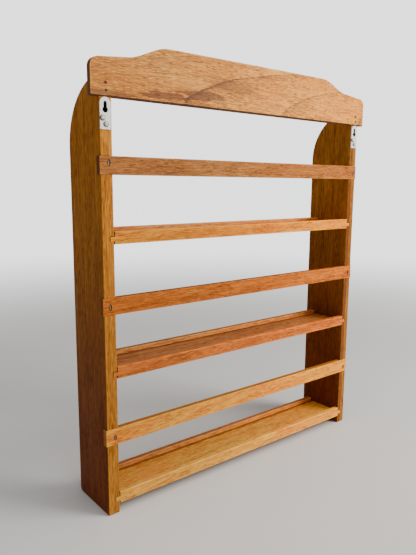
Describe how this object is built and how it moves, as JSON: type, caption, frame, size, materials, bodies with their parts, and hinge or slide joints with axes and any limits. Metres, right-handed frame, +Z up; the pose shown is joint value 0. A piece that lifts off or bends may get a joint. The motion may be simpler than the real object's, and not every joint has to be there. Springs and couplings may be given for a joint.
{
  "type": "spice rack",
  "caption": "Wall spice rack in oiled hardwood: round-topped side panels, lipped shelves, flat back rails, an ogee crest board and keyhole hanger plates",
  "frame": {"origin": "middle of the rack's box, at the height of its feet", "axes": "+Z up; +Y towards the wall, the side with the crest board's face and the hanger plates; +X to the right seen from the front"},
  "size_m": [0.419, 0.0702, 0.489],
  "materials": {
    "panel_wood": "satin oiled hardwood, vertical grain, dark red-brown",
    "crest_wood": "satin oiled hardwood, long grain, orange-brown with dark streaks and two knots",
    "rail_wood": "satin oiled hardwood, long grain, dark end grain",
    "shelf_wood": "satin oiled hardwood, long grain, yellow-brown",
    "lip_wood": "satin oiled hardwood, long grain, rounded top",
    "hanger_enamel": "off-white enamel, satin",
    "nail_head": "cream enamel over steel, slightly worn",
    "staple_wire": "plain steel wire, a little tarnished",
    "brad_steel": "dull dark steel, sunk below the wood"
  },
  "bodies": {
    "root": {"crest_board": "crest_wood", "shelf_board_lower": "shelf_wood", "shelf_front_lip_lower": "lip_wood", "shelf_back_lip_lower": "lip_wood", "back_rail_lower": "rail_wood", "shelf_board_middle": "shelf_wood", "shelf_front_lip_middle": "lip_wood", "shelf_back_lip_middle": "lip_wood", "back_rail_middle": "rail_wood", "shelf_board_upper": "shelf_wood", "shelf_front_lip_upper": "lip_wood", "shelf_back_lip_upper": "lip_wood", "back_rail_upper": "rail_wood", "side_panel_right": "panel_wood", "hanger_plate_right": "hanger_enamel", "hanger_nail_right_upper": "nail_head", "hanger_nail_right_lower": "nail_head", "crest_brad_right_upper": "brad_steel", "crest_brad_right_lower": "brad_steel", "rail_staple_lower_right": "staple_wire", "rail_staple_middle_right": "staple_wire", "rail_staple_upper_right": "staple_wire", "side_panel_left": "panel_wood", "hanger_plate_left": "hanger_enamel", "hanger_nail_left_upper": "nail_head", "hanger_nail_left_lower": "nail_head", "crest_brad_left_upper": "brad_steel", "crest_brad_left_lower": "brad_steel", "rail_staple_lower_left": "staple_wire", "rail_staple_middle_left": "staple_wire", "rail_staple_upper_left": "staple_wire"}
  },
  "joints": []
}
